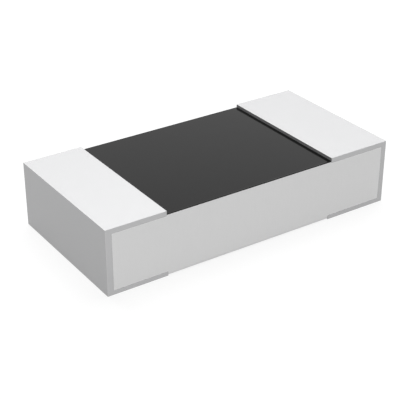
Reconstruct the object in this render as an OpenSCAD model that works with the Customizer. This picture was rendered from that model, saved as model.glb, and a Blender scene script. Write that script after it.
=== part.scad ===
// Thick-film chip resistor, 3.2 x 1.57 mm, lying on its two solder lands.
// X runs along the chip, Y across it and Z up. The origin is under the middle of the chip.

/* [Ceramic] */
// Length of the ceramic block
ceramic_l = 3.104; // [2.8:0.002:3.4]
// Width of the ceramic block
ceramic_w = 1.562; // [1.42:0.002:1.7]
// Thickness of the ceramic block
ceramic_t = 0.622; // [0.4:0.0005:0.8]
// How far the snap-line chamfer cuts in from each side and end
snap_w = 0.005; // [0.004:0.001:0.03]
// How far the snap-line chamfer rises from the underside
snap_h = 0.028; // [0.028:0.001:0.08]

/* [Terminals] */
// Length of each land on top, from the end of the chip, with the print centred
top_land_l = 0.663; // [0.4:0.001:0.85]
// Length of each land underneath, from the end of the chip, with the print centred
bottom_land_l = 0.669; // [0.4:0.001:0.85]
// How far the printed layers sit off centre towards the left end
print_shift = 0.038; // [0:0.001:0.08]
// Thickness of the bottom electrodes
bottom_electrode_t = 0.003; // [0.002:0.0005:0.02]
// How far the bottom electrodes' ink rises in the snap-line chamfer
ink_rise = 0.025; // [0.01:0.001:0.026]
// Thickness of the inner electrodes, printed first on the top face
inner_electrode_t = 0.0025; // [0.002:0.0005:0.01]
// Thickness of the upper electrodes, printed over the inner ones
upper_electrode_t = 0.0355; // [0.02:0.0005:0.06]
// Thickness of the silver paste on the left end face
left_paste_t = 0.05; // [0.02:0.001:0.08]
// Thickness of the silver paste on the right end face
right_paste_t = 0.038; // [0.02:0.001:0.08]
// Thickness of the nickel barrier
nickel_t = 0.0015; // [0.001:0.0005:0.01]
// Thickness of the tin finish
tin_t = 0.0025; // [0.0015:0.0005:0.015]
// How far the plating laps from the metal onto the ceramic's long sides, on top of its own thickness
side_lap = 0.008; // [0.002:0.001:0.012]

/* [Resistor element] */
// How far each inner electrode's tongue reaches past its land
tongue_l = 0.16; // [0.15:0.005:0.3]
// How far each tongue is wider than the film, on each side
tongue_margin = 0.03; // [0:0.005:0.05]
// Width of the resistor film
film_w = 1.2; // [0.8:0.01:1.25]
// Thickness of the resistor film
film_t = 0.003; // [0.002:0.0005:0.01]
// How far the film laps over each tongue
film_lap = 0.12; // [0.06:0.005:0.13]
// Run of the slope where the film climbs onto a tongue
film_ramp = 0.02; // [0.01:0.002:0.05]

/* [Laser trim] */
// Width of the laser cut
kerf_w = 0.04; // [0.02:0.005:0.08]
// How far the cut goes across the film
trim_depth = 0.6; // [0.2:0.01:0.7]
// How far the cut then runs along the film
trim_run = 0.48; // [0.1:0.01:0.6]
// Where the cut starts, along the film from its middle
trim_start = -0.3; // [-0.4:0.01:0]

/* [Coatings] */
// Thickness of the glass over the film
glass_t = 0.0025; // [0.002:0.0005:0.01]
// How far the glass reaches past the film's sides
glass_margin = 0.06; // [0.055:0.005:0.08]
// How far the glass reaches past the film's ends
glass_lap = 0.015; // [0.005:0.001:0.018]
// Thickness of the overcoat where it covers the glass over a tongue
overcoat_t = 0.0025; // [0.002:0.0005:0.012]

/* [Hidden] */

// A terminal is drawn at the left end, and mirrored for the right one
LEFT = -1;
RIGHT = 1;

// Facets in each quarter round where the plating turns a corner
corner_steps = 6;
// How far a cutting shape runs past the face that it cuts
past = 0.02;

plating_t = nickel_t + tin_t;
body_l = ceramic_l + left_paste_t + right_paste_t + 2 * plating_t;

// Heights, from the solder lands up
z_bare_land = plating_t;
z_ceramic = z_bare_land + bottom_electrode_t;
z_ink = z_ceramic + ink_rise;
z_print = z_ceramic + ceramic_t;
z_tongue = z_print + inner_electrode_t;
z_film = z_tongue + film_t;
z_glass = z_film + glass_t;
z_overcoat = z_glass + overcoat_t;
z_bare_top = z_tongue + upper_electrode_t;

// The outer face of the bare paste, as drawn at the left end
x_paste = plating_t - body_l / 2;

// The ceramic's end and the inner ends of the bare electrodes of one terminal, as drawn at the left end
function x_ceramic(side) = x_paste + (side == LEFT ? left_paste_t : right_paste_t);
function x_upper(side) = -body_l / 2 + top_land_l + side * print_shift - plating_t;
function x_lower(side) = -body_l / 2 + bottom_land_l + side * print_shift - plating_t;
function x_tongue(side) = x_upper(side) + tongue_l;
function x_film(side) = x_tongue(side) - film_lap;

// A rectangle's corners, in order
function rectangle(x0, x1, y0, y1) = [[x0, y0], [x1, y0], [x1, y1], [x0, y1]];

// A closed outline of right angles with each corner turned into an arc of radius r
function rounded(outline, r) = [
    for (i = [0 : len(outline) - 1])
        let (
            here = outline[i],
            back = outline[(i + len(outline) - 1) % len(outline)] - here,
            ahead = outline[(i + 1) % len(outline)] - here,
            u = back / norm(back),
            v = ahead / norm(ahead)
        )
        for (k = [0 : corner_steps])
            let (a = 90 * k / corner_steps)
            here + r * (u + v) - r * (sin(a) * u + cos(a) * v)
];

// The metal under the plating, as a C round the end of the ceramic, grown by g all round and by the lap
// where it ends on the ceramic's long sides
function terminal_section(side, g) =
    let (lap = g + side_lap)
    [
        [x_paste - g, z_bare_land - g],
        [x_lower(side) + g, z_bare_land - g],
        [x_lower(side) + g, z_ink + lap],
        [x_ceramic(side) + lap, z_ink + lap],
        [x_ceramic(side) + lap, z_print - lap],
        [x_upper(side) + g, z_print - lap],
        [x_upper(side) + g, z_bare_top + g],
        [x_paste - g, z_bare_top + g],
    ];

// What the plating has inside it between the chip's long sides
function plated_section(side) = [
    [x_paste, z_bare_land],
    [x_lower(side), z_bare_land],
    [x_lower(side), z_ceramic],
    [0, z_ceramic],
    [0, z_overcoat],
    [x_upper(side), z_overcoat],
    [x_upper(side), z_bare_top],
    [x_paste, z_bare_top],
];

// The top of a layer that lies on the ceramic and climbs onto both tongues, reaching lap past the film's ends
function draped_top(rise, lap) = [
    [-x_film(RIGHT) + lap, z_tongue + rise],
    [-x_tongue(RIGHT), z_tongue + rise],
    [-x_tongue(RIGHT) - film_ramp, z_print + rise],
    [x_tongue(LEFT) + film_ramp, z_print + rise],
    [x_tongue(LEFT), z_tongue + rise],
    [x_film(LEFT) - lap, z_tongue + rise],
];

// All that lies under such a layer's top, down to z
function under_top(rise, lap, z) = concat(
    [[x_film(LEFT) - lap, z], [-x_film(RIGHT) + lap, z]],
    draped_top(rise, lap)
);

// Carries an outline in X and Z across the chip, over the width w
module across(outline, w) {
    rotate([90, 0, 0])
        linear_extrude(w, center = true)
            polygon(outline);
}

// Carries an outline in Y and Z along the chip, over the length l
module along(outline, l) {
    rotate([90, 0, 90])
        linear_extrude(l, center = true)
            polygon(outline);
}

// Carries an outline in X and Y up from z0 to z1
module upright(outline, z0, z1) {
    translate([0, 0, z0])
        linear_extrude(z1 - z0)
            polygon(outline);
}

// A block over the width w, from x0 to x1 and from z0 to z1
module block(x0, x1, w, z0, z1) {
    upright(rectangle(x0, x1, -w / 2, w / 2), z0, z1);
}

// Leaves a terminal at the left end, or mirrors it to the right one
module at_end(side) {
    mirror([side == RIGHT ? 1 : 0, 0, 0])
        children();
}

// A face of the ceramic across its half width or half length, with both snap-line chamfers
function snapped_section(half) = [
    [snap_w - half, z_ceramic],
    [half - snap_w, z_ceramic],
    [half, z_ceramic + snap_h],
    [half, z_print],
    [-half, z_print],
    [-half, z_ceramic + snap_h],
];

// The ceramic with one of its ends at the left
module ceramic_block(side) {
    translate([(x_ceramic(side) - x_ceramic(-side)) / 2, 0, 0])
        intersection() {
            along(snapped_section(ceramic_w / 2), ceramic_l);
            across(snapped_section(ceramic_l / 2), ceramic_w);
        }
}

// The terminal's metal with g of plating on it, every outer edge rounded by the plating's own thickness
module plated_terminal(side, g) {
    half_w = ceramic_w / 2 + g;
    intersection() {
        across(rounded(terminal_section(side, g), g), 2 * half_w);
        along(rounded(rectangle(-half_w, half_w, z_bare_land - g, z_bare_top + g), g), body_l);
        upright(
            rounded(rectangle(x_paste - g, -x_paste + g, -half_w, half_w), g),
            z_bare_land - g,
            z_bare_top + g
        );
    }
}

// One plated layer, from g0 to g1 out from the bare metal
module plating(side, g0, g1) {
    difference() {
        plated_terminal(side, g1);
        if (g0 > 0)
            plated_terminal(side, g0);
        across(plated_section(side), ceramic_w);
    }
}

// The L-shaped path of the laser, from the film's front edge
module trim_cut() {
    x0 = (x_film(LEFT) - x_film(RIGHT)) / 2 + trim_start;
    y0 = -film_w / 2;
    y1 = y0 + trim_depth;
    upright(
        [
            [x0 - kerf_w / 2, y0 - glass_margin - past],
            [x0 + kerf_w / 2, y0 - glass_margin - past],
            [x0 + kerf_w / 2, y1 - kerf_w],
            [x0 + trim_run, y1 - kerf_w],
            [x0 + trim_run, y1],
            [x0 - kerf_w / 2, y1],
        ],
        z_print - past,
        z_glass + past
    );
}

// An inner electrode's outline: the full width under its land, and the tongue that reaches in under the film
module inner_electrode_print(side, z0, z1) {
    half_w = ceramic_w / 2;
    half_tongue = film_w / 2 + tongue_margin;
    upright(
        [
            [x_ceramic(side), -half_w],
            [x_upper(side), -half_w],
            [x_upper(side), -half_tongue],
            [x_tongue(side), -half_tongue],
            [x_tongue(side), half_tongue],
            [x_upper(side), half_tongue],
            [x_upper(side), half_w],
            [x_ceramic(side), half_w],
        ],
        z0,
        z1
    );
}

module both_inner_electrodes(z0) {
    for (side = [LEFT, RIGHT])
        at_end(side)
            inner_electrode_print(side, z0, z_tongue);
}

module ceramic_substrate() {
    color("gainsboro")
        ceramic_block(LEFT);
}

// The bottom electrode's ink, flush with the ceramic's sides and end where it fills the snap-line chamfer
module bottom_electrode(side) {
    color("silver")
        at_end(side)
            difference() {
                block(x_ceramic(side), x_lower(side), ceramic_w, z_bare_land, z_ink);
                ceramic_block(side);
            }
}

module inner_electrode(side) {
    color("silver")
        at_end(side)
            inner_electrode_print(side, z_print, z_tongue);
}

module upper_electrode(side) {
    color("silver")
        at_end(side)
            block(x_ceramic(side), x_upper(side), ceramic_w, z_tongue, z_bare_top);
}

module end_termination(side) {
    color("lightgray")
        at_end(side)
            block(x_paste, x_ceramic(side), ceramic_w, z_bare_land, z_bare_top);
}

module resistor_film() {
    color("dimgray")
        difference() {
            across(under_top(film_t, 0, z_print), film_w);
            both_inner_electrodes(z_print - past);
            trim_cut();
        }
}

module glass_coat() {
    color("honeydew")
        difference() {
            across(under_top(film_t + glass_t, glass_lap, z_print), film_w + 2 * glass_margin);
            across(under_top(film_t, 0, z_print - past), film_w);
            both_inner_electrodes(z_print - past);
            trim_cut();
        }
}

// The overcoat runs from terminal to terminal and side to side, and fills the laser cut
module overcoat() {
    color("#494949")
        difference() {
            block(x_upper(LEFT), -x_upper(RIGHT), ceramic_w, z_print, z_overcoat);
            difference() {
                across(
                    under_top(film_t + glass_t, glass_lap, z_print - past),
                    film_w + 2 * glass_margin
                );
                trim_cut();
            }
            both_inner_electrodes(z_print - past);
        }
}

module nickel_barrier(side) {
    color("darkgray")
        at_end(side)
            plating(side, 0, nickel_t);
}

module tin_plating(side) {
    color("whitesmoke")
        at_end(side)
            plating(side, nickel_t, plating_t);
}

ceramic_substrate();
bottom_electrode(LEFT);  // bottom_electrode_left
bottom_electrode(RIGHT);  // bottom_electrode_right
inner_electrode(LEFT);  // inner_electrode_left
inner_electrode(RIGHT);  // inner_electrode_right
upper_electrode(LEFT);  // upper_electrode_left
upper_electrode(RIGHT);  // upper_electrode_right
resistor_film();
glass_coat();
overcoat();
end_termination(LEFT);  // end_termination_left
end_termination(RIGHT);  // end_termination_right
nickel_barrier(LEFT);  // nickel_barrier_left
nickel_barrier(RIGHT);  // nickel_barrier_right
tin_plating(LEFT);  // tin_plating_left
tin_plating(RIGHT);  // tin_plating_right
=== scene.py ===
import math

import bpy
import numpy as np
from bpy.props import FloatProperty, FloatVectorProperty, IntProperty, PointerProperty
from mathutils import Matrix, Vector


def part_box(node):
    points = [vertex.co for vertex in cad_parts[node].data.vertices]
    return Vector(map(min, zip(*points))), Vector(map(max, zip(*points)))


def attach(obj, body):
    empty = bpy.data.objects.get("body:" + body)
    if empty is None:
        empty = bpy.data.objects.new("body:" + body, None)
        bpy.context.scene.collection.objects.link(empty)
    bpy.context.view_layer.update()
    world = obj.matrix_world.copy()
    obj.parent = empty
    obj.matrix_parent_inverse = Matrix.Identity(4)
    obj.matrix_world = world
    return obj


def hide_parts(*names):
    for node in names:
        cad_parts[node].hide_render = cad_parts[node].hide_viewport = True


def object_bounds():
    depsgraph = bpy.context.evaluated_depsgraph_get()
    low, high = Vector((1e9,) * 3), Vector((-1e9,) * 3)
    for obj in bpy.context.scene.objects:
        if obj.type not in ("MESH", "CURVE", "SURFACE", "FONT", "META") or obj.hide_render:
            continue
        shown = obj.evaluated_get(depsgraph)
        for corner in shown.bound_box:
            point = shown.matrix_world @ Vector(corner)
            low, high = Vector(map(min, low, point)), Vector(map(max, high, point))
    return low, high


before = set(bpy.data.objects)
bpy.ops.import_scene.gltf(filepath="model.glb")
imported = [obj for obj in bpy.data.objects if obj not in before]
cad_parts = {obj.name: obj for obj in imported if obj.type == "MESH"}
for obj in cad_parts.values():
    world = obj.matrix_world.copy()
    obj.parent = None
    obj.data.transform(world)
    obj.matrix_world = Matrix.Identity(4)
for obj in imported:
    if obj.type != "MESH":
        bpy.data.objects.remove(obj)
CAD_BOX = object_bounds()

bl_info = {
    "name": "Chip resistor",
    "version": (1, 0, 0),
    "blender": (4, 5, 0),
    "location": "View3D > Sidebar > Chip resistor",
    "description": "Finishes the layers of a thick-film chip resistor and sets its stage",
    "category": "Object",
}

MICRON = 1e-6
MILLIMETRE = 1e-3
MILLIWATT = 1e-3
LEFT, RIGHT = "left", "right"
X, Y, Z = range(3)

# Points closer than this are one point
WELD = 0.01 * MICRON

# A normal with this much of itself along an axis faces that way
FACING = 0.999

# Edges sharper than this aren't shaded smooth
SHARP_ANGLE = math.radians(35)

# Faces along the stretches of a terminal's C, across its land and across its side strip
TERMINAL_RUNS, LAND_STEPS, STRIP_STEPS = (4, 44, 44, 44, 2), 100, 6

# Faces along the stretches of the ceramic's section, round its corners, along the block and
# from the rim of an end to its middle
CERAMIC_RUNS, CERAMIC_ARC, CERAMIC_STEPS, END_STEPS = (4, 40, 30, 40, 4, 30), 3, 220, 12

# Faces along the stretches of the overcoat's section and along the overcoat
OVERCOAT_RUNS, OVERCOAT_STEPS = (3, 140, 3), 170

# How far the overcoat's underside takes to step over the glass's ends and sides, and to rise
# onto the tongues
GLASS_END, GLASS_SIDE, TONGUE_SLOPE = 1 * MICRON, 12 * MICRON, 20 * MICRON

# Sine waves in each uneven surface, and the seed of their random draws
PLATING_WAVES, PLATING_SEED = 24, 3216
FRACTURE_WAVES, FRACTURE_SEED = 30, 3217
LEVELLING_WAVES, LEVELLING_SEED = 16, 3218

# The wavelengths in a surface, as shares of its mean one
WAVELENGTH_SPREAD = 0.7, 1.4

# Heights are squeezed by this for the waves of the break, which makes them taller than wide
FRACTURE_SQUEEZE = 0.45

# Refractive index of alumina
ALUMINA_REFRACTION = 1.76

# Most values of a noise lie between these
NOISE_SPAN = 0.3, 0.7

# The camera's near and far limits, as shares of its distance
CLIP_NEAR, CLIP_FAR = 0.01, 100

# Width of the camera's sensor in millimetres
SENSOR_WIDTH = 36


class FinishSettings(bpy.types.PropertyGroup):
    """Colours and gloss of the visible layers."""

    tin: FloatVectorProperty(
        name="Tin",
        description="Colour of the matte tin on the terminals",
        subtype="COLOR",
        min=0,
        max=1,
        default=(0.391, 0.391, 0.3947),
    )
    ceramic: FloatVectorProperty(
        name="Ceramic",
        description="Colour of the alumina block",
        subtype="COLOR",
        min=0,
        max=1,
        default=(0.717, 0.717, 0.717),
    )
    overcoat: FloatVectorProperty(
        name="Overcoat",
        description="Colour of the epoxy over the resistor film",
        subtype="COLOR",
        min=0,
        max=1,
        default=(0.003, 0.003, 0.003),
    )
    tin_roughness: FloatProperty(
        name="Tin roughness",
        description="How matte the tin is, on average",
        subtype="FACTOR",
        min=0,
        max=1,
        default=0.6,
    )
    overcoat_roughness: FloatProperty(
        name="Overcoat roughness",
        description="How matte the overcoat is, on average",
        subtype="FACTOR",
        min=0,
        max=1,
        default=0.1,
    )
    overcoat_refraction: FloatProperty(
        name="Overcoat refraction",
        description="Refractive index of the overcoat, which sets how much it mirrors",
        min=1,
        default=1.263,
    )


class ShapeSettings(bpy.types.PropertyGroup):
    """Sizes of the fine shapes that the solids leave out."""

    snap_width: FloatProperty(
        name="Snap line width",
        description="How far the snap-line chamfer cuts in from each side and end",
        unit="LENGTH",
        default=5 * MICRON,
    )
    snap_height: FloatProperty(
        name="Snap line height",
        description="How far the snap-line chamfer rises from the underside",
        unit="LENGTH",
        default=28 * MICRON,
    )
    ceramic_edge: FloatProperty(
        name="Ceramic edge",
        description="Radius of the ceramic's edges",
        unit="LENGTH",
        default=3 * MICRON,
    )
    fracture_depth: FloatProperty(
        name="Fracture depth",
        description="How deep the snapped sides are broken",
        unit="LENGTH",
        default=0.8 * MICRON,
    )
    fracture_wave: FloatProperty(
        name="Fracture wave",
        description="Mean width of the waves in the snapped sides",
        unit="LENGTH",
        default=45 * MICRON,
    )
    overcoat_edge: FloatProperty(
        name="Overcoat edge",
        description="Radius of the overcoat's long edges",
        unit="LENGTH",
        default=2.5 * MICRON,
    )
    levelling_depth: FloatProperty(
        name="Levelling depth",
        description="How deep the overcoat's waves are after it has levelled",
        unit="LENGTH",
        default=0.3 * MICRON,
    )
    levelling_wave: FloatProperty(
        name="Levelling wave",
        description="Mean width of the overcoat's waves",
        unit="LENGTH",
        default=260 * MICRON,
    )
    tin_edge: FloatProperty(
        name="Tin edge",
        description="Radius of the terminals' edges",
        unit="LENGTH",
        default=3 * MICRON,
    )
    side_lap: FloatProperty(
        name="Side lap",
        description="How far the plating laps from the metal onto the ceramic's long sides",
        unit="LENGTH",
        default=8 * MICRON,
    )
    plating_depth: FloatProperty(
        name="Plating depth",
        description="How deep the plating's waves are",
        unit="LENGTH",
        default=0.5 * MICRON,
    )
    plating_wave: FloatProperty(
        name="Plating wave",
        description="Mean width of the plating's waves",
        unit="LENGTH",
        default=90 * MICRON,
    )
    arc_steps: IntProperty(
        name="Arc steps",
        description="Faces round each quarter of an edge",
        min=2,
        default=8,
    )


class StageSettings(bpy.types.PropertyGroup):
    """Camera, surroundings and floor."""

    azimuth: FloatProperty(
        name="Azimuth",
        description="How far round the object the camera stands, from its long side",
        subtype="ANGLE",
        default=math.radians(-33.95),
    )
    elevation: FloatProperty(
        name="Elevation",
        description="How far above the floor the camera looks from",
        subtype="ANGLE",
        default=math.radians(28.32),
    )
    distance: FloatProperty(
        name="Distance",
        description="From the camera to the point that it looks at",
        unit="LENGTH",
        default=10.895 * MILLIMETRE,
    )
    lens: FloatProperty(
        name="Lens",
        description="Focal length of the camera",
        unit="CAMERA",
        default=99.47,
    )
    aim: FloatVectorProperty(
        name="Aim",
        description="The point that the camera looks at",
        subtype="XYZ_LENGTH",
        unit="LENGTH",
        default=(-0.114 * MILLIMETRE, -0.025 * MILLIMETRE, 0.181 * MILLIMETRE),
    )
    ambient: FloatProperty(
        name="Ambient light",
        description="Strength of the light from all round, where 1 is white",
        min=0,
        default=0.2,
    )
    floor_size: FloatProperty(
        name="Floor size",
        description="From the middle of the floor to its edges",
        unit="LENGTH",
        default=150 * MILLIMETRE,
    )
    shadow: FloatProperty(
        name="Shadow",
        description="How much of the floor's white the lamps light, which takes the object's shadow",
        subtype="FACTOR",
        min=0,
        max=1,
        default=0.2,
    )
    glow: FloatProperty(
        name="Glow",
        description="How much of the floor's white is its own under the object",
        subtype="FACTOR",
        min=0,
        max=1,
        default=0.82,
    )
    clear_distance: FloatProperty(
        name="Clear distance",
        description="How far from the object's middle the floor's white is all its own",
        unit="LENGTH",
        default=12 * MILLIMETRE,
    )


class ChipSettings(bpy.types.PropertyGroup):
    """All settings of the chip resistor."""

    finish: PointerProperty(
        name="Finish",
        description="Colours and gloss of the visible layers",
        type=FinishSettings,
    )
    shape: PointerProperty(
        name="Shape",
        description="Sizes of the fine shapes",
        type=ShapeSettings,
    )
    stage: PointerProperty(
        name="Stage",
        description="Camera, surroundings and floor",
        type=StageSettings,
    )


def low(node):
    """The lowest corner of a solid."""
    return np.array(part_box(node)[0])


def high(node):
    """The highest corner of a solid."""
    return np.array(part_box(node)[1])


def both_sides(*names):
    """The solids of those names at the left and the right end."""
    return [f"{name}_{side}" for name in names for side in (LEFT, RIGHT)]


def waves(points, wavelength, count, seed):
    """Sum of sine waves in random directions with random starts, from 0 to 1.

    At a point p it is half of 1 + the mean of sin(2 pi p.d / w + a), with d a wave's direction,
    w its length and a its start. It depends on a point's place alone, so points that coincide
    get the same value.
    """
    draw = np.random.default_rng(seed)
    directions = draw.normal(size=(count, 3))
    directions /= np.linalg.norm(directions, axis=1, keepdims=True)
    lengths = wavelength * draw.uniform(*WAVELENGTH_SPREAD, count)
    starts = draw.uniform(0, 2 * math.pi, count)
    phase = 2 * math.pi * (points @ directions.T) / lengths + starts
    return (1 + np.sin(phase).mean(axis=-1)) / 2


def rounded_path(corners, radius, arc_steps, run_steps, closed=False, outside=1):
    """Points and outward normals along a path whose corners are turned into arcs.

    A straight run from one arc to the next has evenly spaced points. Round a corner c the normal
    turns evenly from n0 to n1, the normals of the runs that meet there, and the point is
    m + s r n with the centre m = c - s r (n0 + n1) / (1 + n0.n1), where s is 1 where the corner
    points outwards and -1 where it points inwards. outside is 1 where the outside lies to the
    right of the way along the path, and -1 where it lies to the left.
    """
    corners = np.asarray(corners, float)
    legs = np.roll(corners, -1, axis=0) - corners
    ways = legs / np.linalg.norm(legs, axis=1, keepdims=True)
    normals = outside * np.stack((ways[:, 1], -ways[:, 0]), axis=1)
    turns = range(len(corners)) if closed else range(1, len(corners) - 1)
    share = np.linspace(0, 1, arc_steps + 1)[:, None]
    arcs = []
    for turn in turns:
        n0, n1 = normals[turn - 1], normals[turn]
        angle = math.acos(np.clip(n0 @ n1, -1, 1))
        bulge = 1 if ways[turn] @ n0 < 0 else -1
        arc_normals = (np.sin((1 - share) * angle) * n0 + np.sin(share * angle) * n1) / math.sin(angle)
        centre = corners[turn] - bulge * radius * (n0 + n1) / (1 + n0 @ n1)
        arcs.append((centre + bulge * radius * arc_normals, arc_normals))
    if not closed:
        arcs.insert(0, (corners[:1], normals[:1]))
        arcs.append((corners[-1:], normals[-2:-1]))
    points, outward = [], []
    for index, (arc, arc_normals) in enumerate(arcs):
        points.append(arc)
        outward.append(arc_normals)
        if closed or index < len(arcs) - 1:
            ahead = arcs[(index + 1) % len(arcs)][0][0]
            along = np.linspace(0, 1, run_steps[index] + 1)[1:-1, None]
            points.append(arc[-1] + along * (ahead - arc[-1]))
            outward.append(np.repeat(arc_normals[-1:], len(along), axis=0))
    return np.concatenate(points), np.concatenate(outward)


def grid_faces(grid):
    """The four corners of every cell of a grid of vertex numbers."""
    cells = grid[:-1, :-1], grid[1:, :-1], grid[1:, 1:], grid[:-1, 1:]
    return np.stack(cells, axis=-1).reshape(-1, 4)


def bridge_faces(edge, other):
    """A strip of faces from one row of vertex numbers to another."""
    return np.stack((edge[1:], edge[:-1], other[:-1], other[1:]), axis=-1)


def numbered(shape, first=0):
    """Vertex numbers of a grid of that shape."""
    return first + np.arange(shape[0] * shape[1]).reshape(shape)


def welded(points, faces):
    """Points that coincide become one, and faces that lose a corner become triangles.

    The faces are turned as one so that the volume inside them is positive. With them comes the
    number that each point had before.
    """
    places = np.round(points / WELD)
    _, first, number = np.unique(places, axis=0, return_index=True, return_inverse=True)
    faces = number.reshape(-1)[faces]
    same = faces == np.roll(faces, -1, axis=1)
    lost = same.sum(axis=1)
    triangles = [np.delete(faces[same[:, k] & (lost == 1)], k, axis=1) for k in range(4)]
    quads, triangles = faces[lost == 0], np.concatenate(triangles)
    points = points[first]
    halves = np.concatenate((quads[:, [0, 1, 2]], quads[:, [0, 2, 3]], triangles))
    a, b, c = (points[halves[:, k]] for k in range(3))
    if (a * np.cross(b, c)).sum() < 0:
        quads, triangles = quads[:, ::-1], triangles[:, ::-1]
    return points, quads.tolist() + triangles.tolist(), first


def placed(name, data):
    """A mesh, lamp or camera as an object, put into the scene."""
    holder = bpy.data.objects.new(name, data)
    bpy.context.scene.collection.objects.link(holder)
    return holder


def make_piece(name, points, faces, material, node, marks=None):
    """A closed piece in place of a solid, shaded smooth except at its sharp edges.

    marks holds named values of the points, which the material can read.
    """
    points, faces, first = welded(points.reshape(-1, 3), faces)
    mesh = bpy.data.meshes.new(name)
    mesh.from_pydata(points.tolist(), [], faces)
    if mesh.validate():
        raise RuntimeError(f"{name} has faces that Blender can't use")
    for mark, values in (marks or {}).items():
        attribute = mesh.attributes.new(mark, "FLOAT", "POINT")
        attribute.data.foreach_set("value", values.reshape(-1)[first])
    mesh.shade_smooth()
    mesh.set_sharp_from_angle(angle=SHARP_ANGLE)
    mesh.materials.append(material)
    piece = placed(name, mesh)
    even = piece.modifiers.new("Flat faces stay flat", "WEIGHTED_NORMAL")
    even.keep_sharp = True
    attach(piece, "root")
    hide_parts(node)


def terminal_corners(side, growth, side_lap):
    """Corners of a terminal's outer outline and of its rim on the ceramic's side, in X and Z.

    Both paths run from the overcoat's top to the ceramic's underside, as seen at the left end,
    where X is negative. growth is the thickness of the plating under the surface, and side_lap
    is how much further the rim reaches on the ceramic.
    """
    lap = growth + side_lap
    turn = 1 if side == LEFT else -1
    inner = {LEFT: high, RIGHT: low}[side]
    outer = {LEFT: low, RIGHT: high}[side]
    top_x = turn * inner(f"upper_electrode_{side}")[X] + growth
    bottom_x = turn * inner(f"bottom_electrode_{side}")[X] + growth
    end_x = turn * outer(f"end_termination_{side}")[X] - growth
    rim_x = turn * outer("ceramic_substrate")[X] + lap
    top_z = high(f"upper_electrode_{side}")[Z] + growth
    bottom_z = low(f"end_termination_{side}")[Z] - growth
    top_rim_z = high("ceramic_substrate")[Z] - lap
    bottom_rim_z = high(f"bottom_electrode_{side}")[Z] + lap
    foot_z = high("overcoat")[Z]
    heel_z = low("ceramic_substrate")[Z]
    outline = [
        (top_x, foot_z), (top_x, top_z), (end_x, top_z),
        (end_x, bottom_z), (bottom_x, bottom_z), (bottom_x, heel_z),
    ]
    rim = [
        (top_x, foot_z), (top_x, top_rim_z), (rim_x, top_rim_z),
        (rim_x, bottom_rim_z), (bottom_x, bottom_rim_z), (bottom_x, heel_z),
    ]
    return outline, rim


def columns(flat, y, flat_normal, y_normal):
    """Columns of points and of their normals, with Y put between X and Z."""
    shape = flat[..., :1].shape
    y, y_normal = np.broadcast_to(y, shape), np.broadcast_to(y_normal, shape)
    points = np.concatenate((flat[..., :1], y, flat[..., 1:]), axis=-1)
    normals = np.concatenate((flat_normal[..., :1], y_normal, flat_normal[..., 1:]), axis=-1)
    return np.stack((points, normals))


def terminal_surface(side, growth, radius, shape):
    """One face of the plating over a terminal: points, normals and the columns beside the land.

    Rows run along the C of the terminal. Across it, each row starts at the rim on one side of the
    ceramic, turns out in a quarter round of radius r, crosses the side strip, turns over the long
    edge in another quarter round, crosses the land and comes back the same way on the other side.
    On a quarter round the point is q + r (cos f n, sin f), with q the outline moved in by r, n its
    normal and f from 0 to 90 degrees.
    """
    outline, rim = terminal_corners(side, growth, shape.side_lap)
    path, normal = rounded_path(outline, radius, shape.arc_steps, TERMINAL_RUNS)
    rim_path, rim_normal = rounded_path(rim, radius, shape.arc_steps, TERMINAL_RUNS, outside=-1)
    inset, rim_inset = path - radius * normal, rim_path - radius * rim_normal
    half_width = high("ceramic_substrate")[Y]
    rise = np.linspace(0, math.pi / 2, shape.arc_steps + 1)[:, None, None]
    cosine, sine = np.cos(rise), np.sin(rise)
    turned_y = half_width + growth - radius + radius * sine
    across = np.linspace(-half_width, half_width, LAND_STEPS + 1)[1:-1, None, None]
    over = np.linspace(0, 1, STRIP_STEPS + 1)[1:-1, None, None]
    rim_start = columns(rim_path[None], -half_width, rim_normal[None], 0)
    rim_round = columns(rim_inset + radius * cosine * rim_normal, -turned_y, cosine * rim_normal, -sine)
    strip_path = rim_inset + over * (inset - rim_inset)
    strip = columns(strip_path, -half_width - growth, np.zeros_like(strip_path), -1)
    edge_round = columns(inset + radius * cosine * normal, -turned_y, cosine * normal, -sine)
    land_start = columns(path[None], -half_width, normal[None], 0)
    land_path, land_normal = (np.repeat(row[None], len(across), axis=0) for row in (path, normal))
    land = columns(land_path, across, land_normal, 0)
    near = np.concatenate((rim_start, rim_round, strip, edge_round[:, ::-1], land_start), axis=1)
    far = near[:, ::-1] * np.array((1, -1, 1))
    points, normals = np.concatenate((near, land, far), axis=1).transpose(0, 2, 1, 3)
    if side == RIGHT:
        points, normals = points * np.array((-1, 1, 1)), normals * np.array((-1, 1, 1))
    return points, normals, near.shape[1]


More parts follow.
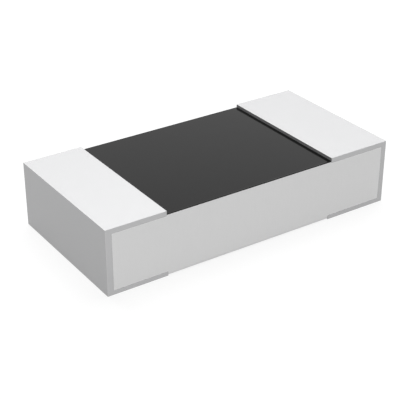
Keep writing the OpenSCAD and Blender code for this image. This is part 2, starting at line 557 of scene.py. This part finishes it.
def tin_terminal(side, shape, material):
    """The tin on one terminal: an outer and an inner face, closed along the rim.

    The outer face is moved in along its normals by waves. The mark step says how far a normal
    points to the chip's middle, from 0 to 1, above the overcoat, and is 0 elsewhere; the tin's
    material paints shade where it is high.
    """
    metal_top = high(f"upper_electrode_{side}")[Z]
    outer_growth = high(f"tin_plating_{side}")[Z] - metal_top
    inner_growth = high(f"nickel_barrier_{side}")[Z] - metal_top
    outer, normals, edge = terminal_surface(side, outer_growth, shape.tin_edge, shape)
    inner, _, _ = terminal_surface(side, inner_growth, inner_growth, shape)
    inwards = normals[..., X] * (1 if side == LEFT else -1)
    # Where the tin's material paints shade: the wall that faces the chip's middle above the overcoat
    step = np.clip(inwards, 0, 1) * (outer[..., Z] > high("overcoat")[Z] - WELD)
    depth = shape.plating_depth * waves(outer, shape.plating_wave, PLATING_WAVES, PLATING_SEED)
    outer = outer - depth[..., None] * normals
    upper = numbered(outer.shape[:2])
    under = numbered(inner.shape[:2], upper.size)
    land = slice(edge - 1, 1 - edge)
    faces = np.concatenate((
        grid_faces(upper),
        grid_faces(under)[:, ::-1],
        bridge_faces(upper[:, 0], under[:, 0]),
        bridge_faces(under[:, -1], upper[:, -1]),
        bridge_faces(under[0, land], upper[0, land]),
        bridge_faces(upper[-1, land], under[-1, land]),
    ))
    points = np.concatenate((outer.reshape(-1, 3), inner.reshape(-1, 3)))
    marks = {"step": np.append(step, np.zeros(inner.shape[:2]))}
    name, node = f"tin_terminal_{side}", f"tin_plating_{side}"
    make_piece(name, points, faces, material, node, marks)


def snapped_ceramic(shape, material):
    """The alumina block, a section carried along the chip.

    The section in Y and Z has a snap-line chamfer at both bottom edges. A point of it goes to
    x = m + t L(z), with m the block's middle, t from -1 to 1 and L the half length, which shrinks
    by the chamfer's width towards the underside. At both ends the section closes in on its middle.
    The long sides are worn back by waves where they were broken.
    """
    bottom, top = low("ceramic_substrate"), high("ceramic_substrate")
    middle_x, half_length, half_width = (bottom[X] + top[X]) / 2, (top[X] - bottom[X]) / 2, top[Y]
    notch, notch_z = shape.snap_width, bottom[Z] + shape.snap_height
    section = [
        (notch - half_width, bottom[Z]), (-half_width, notch_z), (-half_width, top[Z]),
        (half_width, top[Z]), (half_width, notch_z), (half_width - notch, bottom[Z]),
    ]
    ring, normal = rounded_path(
        section, shape.ceramic_edge, CERAMIC_ARC, CERAMIC_RUNS, closed=True, outside=-1
    )
    ring, normal = np.append(ring, ring[:1], axis=0), np.append(normal, normal[:1], axis=0)
    middle = np.array((0, (bottom[Z] + top[Z]) / 2))
    cap = np.linspace(0, 1, END_STEPS, endpoint=False)
    body = np.linspace(-1, 1, CERAMIC_STEPS + 1)
    size = np.concatenate((cap, np.ones_like(body), cap[::-1]))
    t = np.concatenate((-np.ones_like(cap), body, np.ones_like(cap)))
    flat = middle + size[:, None, None] * (ring - middle)
    short = np.clip((notch_z - flat[..., 1]) / shape.snap_height, 0, 1)
    x = middle_x + t[:, None] * (half_length - notch * short)
    points = np.stack((x, flat[..., 0], flat[..., 1]), axis=-1)
    squeezed = points * np.array((1, 1, FRACTURE_SQUEEZE))
    depth = shape.fracture_depth * waves(squeezed, shape.fracture_wave, FRACTURE_WAVES, FRACTURE_SEED)
    side = np.where(np.abs(normal[:, 0]) > FACING, np.sign(normal[:, 0]), 0)
    points[..., Y] -= depth * (size[:, None] == 1) * side
    faces = grid_faces(numbered(points.shape[:2]))
    make_piece("snapped_ceramic", points, faces, material, "ceramic_substrate")


def printed_overcoat(shape, material):
    """The epoxy coat, a section carried along the chip from terminal to terminal.

    Its top is flat but for faint waves, and its long edges are quarter rounds. Its underside lies
    on the ceramic and steps over the glass, whose top is higher on the two electrode tongues.
    The underside's height is a rise that depends on x times a cover that depends on y, both
    straight lines between the places where they change.
    """
    start, end = low("overcoat"), high("overcoat")
    glass_low, glass_high = low("glass_coat"), high("glass_coat")
    tongues = high("inner_electrode_left")[X], low("inner_electrode_right")[X]
    print_z = start[Z]
    corners = [(start[Y], print_z), (start[Y], end[Z]), (end[Y], end[Z]), (end[Y], print_z)]
    profile, normal = rounded_path(
        corners, shape.overcoat_edge, shape.arc_steps, OVERCOAT_RUNS, outside=-1
    )
    left_end = glass_low[X] - GLASS_END, glass_low[X]
    right_end = glass_high[X], glass_high[X] + GLASS_END
    even = np.linspace(start[X], end[X], OVERCOAT_STEPS + 1)
    x = np.unique(np.concatenate((even, left_end, tongues, right_end)))
    top = np.empty((len(x), len(profile), 3))
    top[..., X] = x[:, None]
    top[..., Y], top[..., Z] = profile.T
    depth = shape.levelling_depth * waves(top, shape.levelling_wave, LEVELLING_WAVES, LEVELLING_SEED)
    top[..., Z] -= depth * (normal[:, 1] > FACING)
    tongue_rise = high("inner_electrode_left")[Z] - print_z
    glass_rise = glass_high[Z] - print_z
    film_rise = glass_rise - tongue_rise
    slopes = tongues[0], tongues[0] + TONGUE_SLOPE, tongues[1] - TONGUE_SLOPE, tongues[1]
    half = tongue_rise, glass_rise, glass_rise, film_rise
    rise = np.interp(x, (*left_end, *slopes, *right_end), half + half[::-1])
    cover_y = glass_high[Y], glass_high[Y] + GLASS_SIDE
    cover = np.interp(np.abs(profile[:, 0]), cover_y, (1, 0))
    under = top.copy()
    under[..., Z] = print_z + rise[:, None] * cover
    upper = numbered(top.shape[:2])
    lower = numbered(under.shape[:2], upper.size)
    faces = np.concatenate((
        grid_faces(upper),
        grid_faces(lower)[:, ::-1],
        bridge_faces(lower[0], upper[0]),
        bridge_faces(upper[-1], lower[-1]),
    ))
    points = np.concatenate((top.reshape(-1, 3), under.reshape(-1, 3)))
    make_piece("printed_overcoat", points, faces, material, "overcoat")


def add_node(tree, kind, inputs=(), **settings):
    """A node of that kind with its settings and constant inputs."""
    made = tree.nodes.new(kind)
    for name, value in settings.items():
        setattr(made, name, value)
    for name, value in dict(inputs).items():
        made.inputs[name].default_value = value
    return made


def new_finish(name):
    """A new material, its node tree and its shader."""
    material = bpy.data.materials.new(name)
    material.use_nodes = True
    tree = material.node_tree
    return material, tree, tree.nodes["Principled BSDF"]


def in_millimetres(tree, stretch=(1, 1, 1)):
    """Places on the piece in millimetres, for a pattern stretched along X, Y and Z."""
    place = add_node(tree, "ShaderNodeTexCoord")
    scale = [1 / (MILLIMETRE * s) for s in stretch]
    mapping = add_node(tree, "ShaderNodeMapping", {"Scale": scale})
    tree.links.new(place.outputs["Object"], mapping.inputs["Vector"])
    return mapping.outputs["Vector"]


def noise(tree, vector, per_millimetre, detail=2):
    """Cloudy noise with so many bumps in a millimetre."""
    made = add_node(tree, "ShaderNodeTexNoise", {"Scale": per_millimetre, "Detail": detail})
    tree.links.new(vector, made.inputs["Vector"])
    return made.outputs["Fac"]


def grains(tree, vector, per_millimetre):
    """Grains with so many in a millimetre: a level of each grain's own and the way to its middle."""
    made = add_node(tree, "ShaderNodeTexVoronoi", {"Scale": per_millimetre})
    tree.links.new(vector, made.inputs["Vector"])
    level = add_node(tree, "ShaderNodeSeparateColor")
    tree.links.new(made.outputs["Color"], level.inputs["Color"])
    return level.outputs["Red"], made.outputs["Distance"]


def ranged(tree, value, start, end, low_end=0.0, high_end=1.0):
    """A value moved from the range low_end to high_end into the range start to end."""
    made = add_node(
        tree,
        "ShaderNodeMapRange",
        {"From Min": low_end, "From Max": high_end, "To Min": start, "To Max": end},
    )
    tree.links.new(value, made.inputs["Value"])
    return made.outputs["Result"]


def combined(tree, operation, first, second):
    """Two values put together by a Math node's operation."""
    made = add_node(tree, "ShaderNodeMath", operation=operation)
    tree.links.new(first, made.inputs[0])
    tree.links.new(second, made.inputs[1])
    return made.outputs["Value"]


def grained(tree, level, clouds, share):
    """The levels of grains and a noise added up, from 0 to 1, with that share of grains."""
    from_grains = ranged(tree, level, 0, share)
    from_clouds = ranged(tree, clouds, 0, 1 - share, *NOISE_SPAN)
    return combined(tree, "ADD", from_grains, from_clouds)


def shaded(tree, value, colour, dark, light):
    """A colour that runs from dark to light times itself as the value goes from 0 to 1."""
    ramp = add_node(tree, "ShaderNodeValToRGB")
    for stop, level in zip(ramp.color_ramp.elements, (dark, light)):
        stop.color = [min(1, level * c) for c in colour] + [1]
    tree.links.new(value, ramp.inputs["Fac"])
    return ramp.outputs["Color"]


def bumped(tree, shader, height, depth, strength):
    """Gives the shader a bump of that depth."""
    bump = add_node(tree, "ShaderNodeBump", {"Distance": depth, "Strength": strength})
    tree.links.new(height, bump.inputs["Height"])
    tree.links.new(bump.outputs["Normal"], shader.inputs["Normal"])


def matte_tin(finish):
    """Matte plated tin: fine grains, faint clouds and a roughness that follows both.

    Where the mark step is 1, on the wall over the overcoat, it is painted with shade: not metallic and
    half as bright.
    """
    material, tree, shader = new_finish("matte_tin")
    place = in_millimetres(tree)
    level, _ = grains(tree, place, per_millimetre=260)
    tone = grained(tree, level, noise(tree, place, per_millimetre=9, detail=3), share=0.55)
    step = add_node(tree, "ShaderNodeAttribute", attribute_name="step").outputs["Fac"]
    # Painted shade: the wall over the overcoat loses its metal and half its brightness, so it looks
    # shaded
    tree.links.new(ranged(tree, step, 1, 0), shader.inputs["Metallic"])
    painted_wall_shade = add_node(tree, "ShaderNodeVectorMath", operation="SCALE")
    tree.links.new(shaded(tree, tone, finish.tin, dark=0.97, light=1.03), painted_wall_shade.inputs["Vector"])
    tree.links.new(ranged(tree, step, 1, 0.5), painted_wall_shade.inputs["Scale"])
    tree.links.new(painted_wall_shade.outputs["Vector"], shader.inputs["Base Color"])
    mean, spread = finish.tin_roughness, 0.05
    tree.links.new(ranged(tree, tone, mean - spread, mean + spread), shader.inputs["Roughness"])
    pits = noise(tree, place, per_millimetre=320, detail=3)
    bumped(tree, shader, pits, depth=0.6 * MICRON, strength=0.35)
    return material


def snapped_alumina(finish):
    """Fired alumina: grains of a few microns, small pores and faint upright marks of the break."""
    material, tree, shader = new_finish("snapped_alumina")
    place, upright = in_millimetres(tree), in_millimetres(tree, stretch=(1, 1, 9))
    level, _ = grains(tree, place, per_millimetre=200)
    tone = grained(tree, level, noise(tree, upright, per_millimetre=60, detail=3), share=0.5)
    _, from_pore = grains(tree, place, per_millimetre=32)
    pores = ranged(tree, from_pore, start=0.35, end=0, low_end=0.05, high_end=0.09)
    tone = combined(tree, "SUBTRACT", tone, pores)
    colour = shaded(tree, tone, finish.ceramic, dark=0.985, light=1.01)
    tree.links.new(colour, shader.inputs["Base Color"])
    shader.inputs["IOR"].default_value = ALUMINA_REFRACTION
    rough = ranged(tree, tone, start=0.62, end=0.5)
    tree.links.new(rough, shader.inputs["Roughness"])
    bumped(tree, shader, tone, depth=0.5 * MICRON, strength=0.3)
    return material


def cured_epoxy(finish):
    """Black printed epoxy: a nearly smooth skin with fine filler in it."""
    material, tree, shader = new_finish("cured_epoxy")
    place = in_millimetres(tree)
    level, _ = grains(tree, place, per_millimetre=240)
    filler = ranged(tree, level, 0, 1, low_end=0.6)
    colour = shaded(tree, filler, finish.overcoat, dark=0.8, light=1.6)
    tree.links.new(colour, shader.inputs["Base Color"])
    shader.inputs["IOR"].default_value = finish.overcoat_refraction
    mean, spread = finish.overcoat_roughness, 0.03
    clouds = noise(tree, place, per_millimetre=40, detail=3)
    rough = ranged(tree, clouds, mean - spread, mean + spread, *NOISE_SPAN)
    tree.links.new(rough, shader.inputs["Roughness"])
    skin = noise(tree, place, per_millimetre=18, detail=4)
    bumped(tree, shader, skin, depth=0.25 * MICRON, strength=0.3)
    return material


def fired_ink(name, colour, metallic, roughness, contrast, screen_marks):
    """A printed and fired layer: grains of metal or glass and the screen's faint marks.

    screen_marks is how many of these there are in a millimetre.
    """
    material, tree, shader = new_finish(name)
    place = in_millimetres(tree)
    level, _ = grains(tree, place, per_millimetre=300)
    tone = grained(tree, level, noise(tree, place, screen_marks), share=0.5)
    varied = shaded(tree, tone, colour, dark=1 - contrast, light=1 + contrast)
    tree.links.new(varied, shader.inputs["Base Color"])
    shader.inputs["Metallic"].default_value = metallic
    spread = 0.06
    rough = ranged(tree, tone, roughness + spread, roughness - spread)
    tree.links.new(rough, shader.inputs["Roughness"])
    bumped(tree, shader, tone, depth=0.5 * MICRON, strength=0.3)
    return material


# The layers under the tin and the overcoat: the solids of each slot, and how they look
BURIED_LAYERS = {
    "silver_ink": (
        both_sides("bottom_electrode", "inner_electrode", "upper_electrode"),
        dict(colour=(0.78, 0.77, 0.74), metallic=1, roughness=0.45, contrast=0.08, screen_marks=20),
    ),
    "resistor_ink": (
        ["resistor_film"],
        dict(colour=(0.035, 0.034, 0.036), metallic=0, roughness=0.35, contrast=0.3, screen_marks=24),
    ),
    "cover_glass": (
        ["glass_coat"],
        dict(colour=(0.42, 0.47, 0.42), metallic=0, roughness=0.12, contrast=0.1, screen_marks=12),
    ),
    "end_paste": (
        both_sides("end_termination"),
        dict(colour=(0.6, 0.59, 0.57), metallic=1, roughness=0.55, contrast=0.1, screen_marks=15),
    ),
    "nickel": (
        both_sides("nickel_barrier"),
        dict(colour=(0.6, 0.56, 0.5), metallic=1, roughness=0.4, contrast=0.06, screen_marks=30),
    ),
}

# Lamps: azimuth and elevation in degrees, distance and size in millimetres
LAMPS = {
    "softbox_above": dict(azimuth=140, elevation=66, distance=18, size=18, milliwatts=3.88),
    "strip_front": dict(azimuth=-17, elevation=8, distance=40, size=10, milliwatts=9),
    "strip_back": dict(azimuth=-172, elevation=20, distance=40, size=10, milliwatts=4),
}


def direction(azimuth, elevation):
    """Unit vector from the object towards a place round it. Azimuth 0 is in front, at -Y."""
    flat = math.cos(elevation)
    return Vector((math.sin(azimuth) * flat, -math.cos(azimuth) * flat, math.sin(elevation)))


def look(thing, target):
    """Turns a camera or lamp to a point."""
    thing.rotation_mode = "QUATERNION"
    thing.rotation_quaternion = (target - thing.location).to_track_quat("-Z", "Y")


def seen_directly(tree):
    """1 for rays from the camera and for those that a mirror or glass sends on, else 0."""
    ray = add_node(tree, "ShaderNodeLightPath").outputs
    sent_on = combined(tree, "MAXIMUM", ray["Is Glossy Ray"], ray["Is Transmission Ray"])
    return combined(tree, "MAXIMUM", ray["Is Camera Ray"], sent_on)


def set_world(stage):
    """White surroundings as seen, and an even light of the ambient strength on the object."""
    world = bpy.data.worlds.new("studio")
    bpy.context.scene.world = world
    world.use_nodes = True
    tree = world.node_tree
    strength = ranged(tree, seen_directly(tree), stage.ambient, 1)
    tree.links.new(strength, tree.nodes["Background"].inputs["Strength"])
    tree.nodes["Background"].inputs["Color"].default_value = (1, 1, 1, 1)


def pale_floor(stage):
    """Grey paint that takes the shadow, and a glow that is seen but lights nothing.

    The glow rises with the distance from the object, so that the floor has no horizon.
    """
    material = bpy.data.materials.new("pale_floor")
    material.use_nodes = True
    material.cycles.emission_sampling = "NONE"
    tree = material.node_tree
    tree.nodes.clear()
    paint = add_node(tree, "ShaderNodeBsdfDiffuse", {"Color": [stage.shadow] * 3 + [1]})
    glow = add_node(tree, "ShaderNodeEmission")
    place = add_node(tree, "ShaderNodeTexCoord").outputs["Object"]
    distance = add_node(tree, "ShaderNodeVectorMath", operation="LENGTH")
    tree.links.new(place, distance.inputs[0])
    own = ranged(tree, distance.outputs["Value"], stage.glow, 1, 0, stage.clear_distance)
    own.node.interpolation_type = "SMOOTHSTEP"
    tree.links.new(combined(tree, "MULTIPLY", seen_directly(tree), own), glow.inputs["Strength"])
    both = add_node(tree, "ShaderNodeAddShader")
    out = add_node(tree, "ShaderNodeOutputMaterial")
    tree.links.new(paint.outputs[0], both.inputs[0])
    tree.links.new(glow.outputs[0], both.inputs[1])
    tree.links.new(both.outputs[0], out.inputs["Surface"])
    return material


def make_floor(stage):
    """A square floor under the object."""
    size = stage.floor_size
    corners = [(-size, -size, 0), (size, -size, 0), (size, size, 0), (-size, size, 0)]
    mesh = bpy.data.meshes.new("floor")
    mesh.from_pydata(corners, [], [(0, 1, 2, 3)])
    mesh.materials.append(pale_floor(stage))
    placed("floor", mesh)


def make_lamp(name, azimuth, elevation, distance, size, milliwatts):
    """A square softbox that looks at the middle of the object."""
    lamp = bpy.data.lights.new(name, "AREA")
    lamp.shape = "SQUARE"
    lamp.size = size * MILLIMETRE
    lamp.energy = milliwatts * MILLIWATT
    holder = placed(name, lamp)
    middle = (CAD_BOX[0] + CAD_BOX[1]) / 2
    way = direction(math.radians(azimuth), math.radians(elevation))
    holder.location = middle + distance * MILLIMETRE * way
    look(holder, middle)


def make_camera(stage):
    """The camera at the photograph's place."""
    camera = bpy.data.cameras.new("camera")
    camera.sensor_width = SENSOR_WIDTH
    camera.lens = stage.lens
    camera.clip_start = stage.distance * CLIP_NEAR
    camera.clip_end = stage.distance * CLIP_FAR
    holder = placed("camera", camera)
    aim = Vector(stage.aim)
    holder.location = aim + stage.distance * direction(stage.azimuth, stage.elevation)
    look(holder, aim)
    bpy.context.scene.camera = holder


class CHIP_OT_ceramic(bpy.types.Operator):
    """Make the alumina block with its snapped sides"""

    bl_idname = "chip.ceramic"
    bl_label = "Ceramic block"

    def execute(self, context):
        chip = context.scene.chip_resistor
        snapped_ceramic(chip.shape, snapped_alumina(chip.finish))
        return {"FINISHED"}


class CHIP_OT_overcoat(bpy.types.Operator):
    """Make the black overcoat between the terminals"""

    bl_idname = "chip.overcoat"
    bl_label = "Overcoat"

    def execute(self, context):
        chip = context.scene.chip_resistor
        printed_overcoat(chip.shape, cured_epoxy(chip.finish))
        return {"FINISHED"}


class CHIP_OT_terminals(bpy.types.Operator):
    """Make the tin on both terminals"""

    bl_idname = "chip.terminals"
    bl_label = "Tin terminals"

    def execute(self, context):
        chip = context.scene.chip_resistor
        material = matte_tin(chip.finish)
        for side in (LEFT, RIGHT):
            tin_terminal(side, chip.shape, material)
        return {"FINISHED"}


class CHIP_OT_buried_layers(bpy.types.Operator):
    """Give the layers under the tin and the overcoat their finish"""

    bl_idname = "chip.buried_layers"
    bl_label = "Buried layers"

    def execute(self, context):
        for slot, (nodes, ink) in BURIED_LAYERS.items():
            material = fired_ink(slot, **ink)
            for node in nodes:
                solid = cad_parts[node]
                solid.data.materials.clear()
                solid.data.materials.append(material)
        return {"FINISHED"}


class CHIP_OT_stage(bpy.types.Operator):
    """Set the floor, the lamps, the surroundings and the camera"""

    bl_idname = "chip.stage"
    bl_label = "Stage"

    def execute(self, context):
        stage = context.scene.chip_resistor.stage
        context.scene.view_settings.view_transform = "Standard"
        set_world(stage)
        make_floor(stage)
        for name, lamp in LAMPS.items():
            make_lamp(name, **lamp)
        make_camera(stage)
        return {"FINISHED"}


STEPS = (CHIP_OT_ceramic, CHIP_OT_overcoat, CHIP_OT_terminals, CHIP_OT_buried_layers, CHIP_OT_stage)


class CHIP_PT_panel(bpy.types.Panel):
    """Settings and steps of the chip resistor"""

    bl_idname = "CHIP_PT_panel"
    bl_label = "Chip resistor"
    bl_space_type = "VIEW_3D"
    bl_region_type = "UI"
    bl_category = "Chip resistor"

    def draw(self, context):
        chip = context.scene.chip_resistor
        for group in (chip.finish, chip.shape, chip.stage):
            box = self.layout.box()
            for name in group.__annotations__:
                box.prop(group, name)
        for step in STEPS:
            self.layout.operator(step.bl_idname)


CLASSES = (FinishSettings, ShapeSettings, StageSettings, ChipSettings, *STEPS, CHIP_PT_panel)


def register():
    """Adds the classes and the scene's settings."""
    for cls in CLASSES:
        bpy.utils.register_class(cls)
    bpy.types.Scene.chip_resistor = PointerProperty(type=ChipSettings)


def unregister():
    """Takes away the scene's settings and the classes."""
    del bpy.types.Scene.chip_resistor
    for cls in reversed(CLASSES):
        bpy.utils.unregister_class(cls)


def main():
    """Registers the add-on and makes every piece."""
    register()
    bpy.ops.chip.ceramic()
    bpy.ops.chip.overcoat()
    bpy.ops.chip.terminals()
    bpy.ops.chip.buried_layers()
    bpy.ops.chip.stage()


if __name__ == "__main__":
    main()
